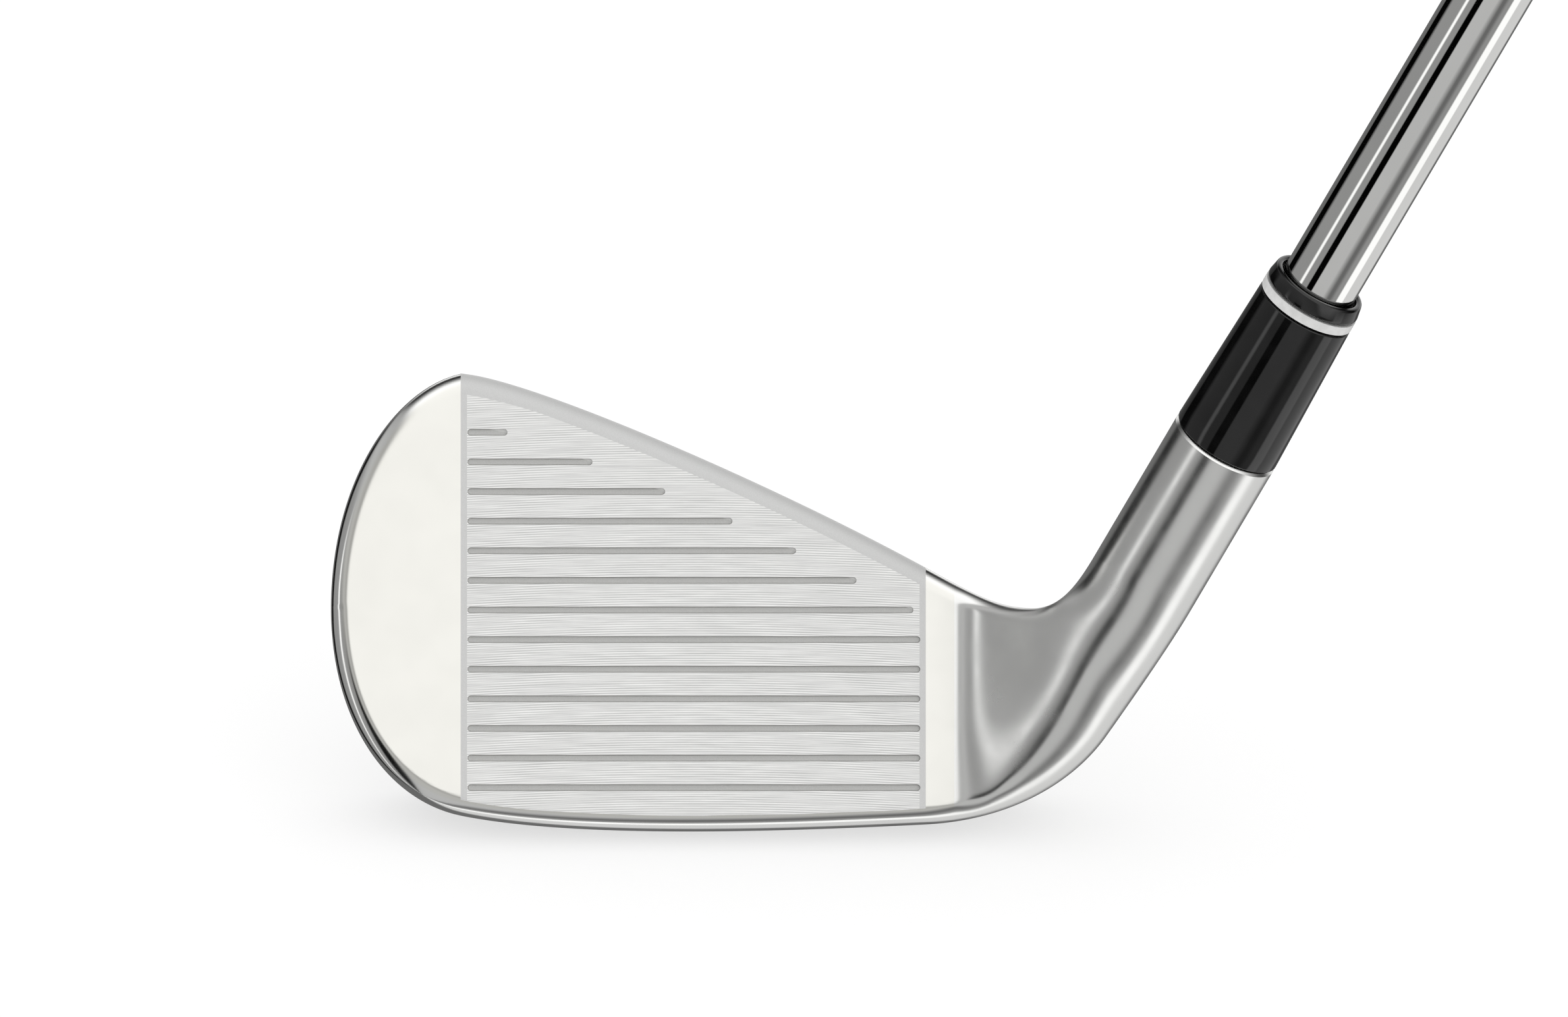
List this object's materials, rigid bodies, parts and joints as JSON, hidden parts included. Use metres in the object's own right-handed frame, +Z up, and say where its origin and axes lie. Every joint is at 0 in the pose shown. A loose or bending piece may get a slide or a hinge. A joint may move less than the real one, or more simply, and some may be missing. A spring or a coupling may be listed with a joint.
{
  "type": "iron golf club",
  "caption": "Middle iron golf club: forged cavity-back steel head with score lines, black ferrule, stepped steel shaft and rubber grip.",
  "frame": {"origin": "the small flat at the lowest point of the sole, below the middle of the score lines, where the club touches the ground at address", "axes": "+Z up at address, +X towards the heel and the shaft, the struck side of the face looks towards -Y and 25 degrees up"},
  "size_m": [0.5439, 0.0362, 0.8574],
  "materials": {
    "head": "satin chrome over forged steel, milled face",
    "badge": "fine brushed, dark anodised",
    "adhesive_pad": "matt foam tape",
    "epoxy": "cured adhesive",
    "ferrule": "polished black",
    "ferrule_ring": "satin light grey",
    "shaft": "mirror chrome plating",
    "tip_weight": "turned",
    "shaft_band": "plain printed film",
    "grip_tape": "creped paper tape",
    "grip": "matt moulded pattern"
  },
  "bodies": {
    "root": {"head_body": "head", "badge_plate": "badge", "badge_tape": "adhesive_pad", "hosel_epoxy": "epoxy", "ferrule_body": "ferrule", "ferrule_ring": "ferrule_ring", "ferrule_cap": "ferrule", "shaft": "shaft", "tip_weight": "tip_weight", "shaft_band": "shaft_band", "grip_tape": "grip_tape", "grip_sleeve": "grip", "grip_cap": "grip"}
  },
  "joints": []
}
